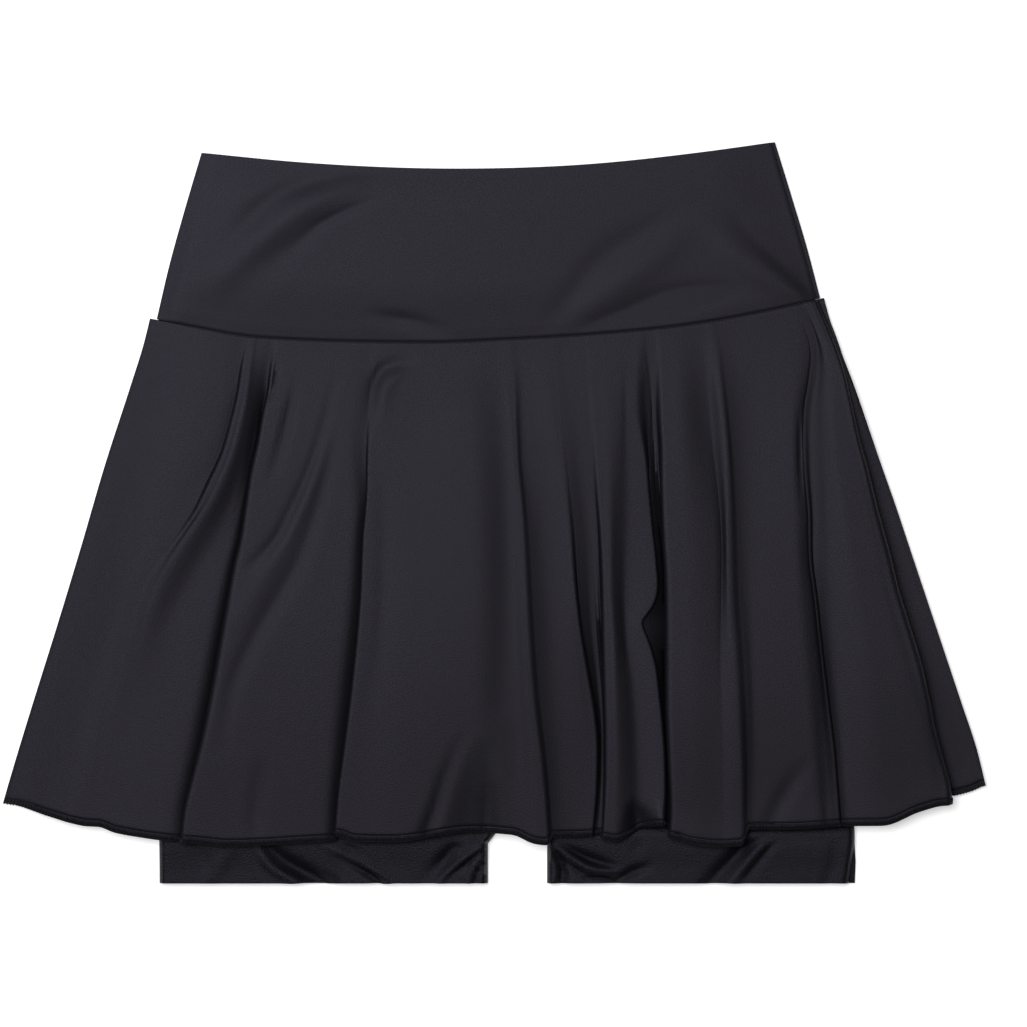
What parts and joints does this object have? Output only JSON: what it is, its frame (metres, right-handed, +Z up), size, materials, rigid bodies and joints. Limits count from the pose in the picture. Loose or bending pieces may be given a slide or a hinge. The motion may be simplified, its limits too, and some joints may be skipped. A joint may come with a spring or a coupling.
{
  "type": "tennis skort laid flat",
  "caption": "Flared tennis skirt over fitted inner shorts on a wide smooth waistband, laid flat with its front up and its folds standing.",
  "frame": {"origin": "on the floor under the middle of the garment's bounding box", "axes": "+X to the right-hand side as seen from above, +Y to the waist, +Z up out of the garment's front"},
  "size_m": [0.5897, 0.4446, 0.0193],
  "materials": {
    "waistband": "satin-faced nylon and spandex jersey, two layers, near-black charcoal",
    "skirt": "satin-faced nylon and spandex jersey, near-black charcoal, overlocked raw hem",
    "shorts": "fine ribbed-looking jersey of the inner shorts, near-black charcoal"
  },
  "bodies": {
    "root": {"waistband_front": "waistband", "waistband_back": "waistband", "skirt_front": "skirt", "skirt_back": "skirt", "shorts_front_left": "shorts", "shorts_front_right": "shorts", "shorts_back_left": "shorts", "shorts_back_right": "shorts"}
  },
  "joints": []
}
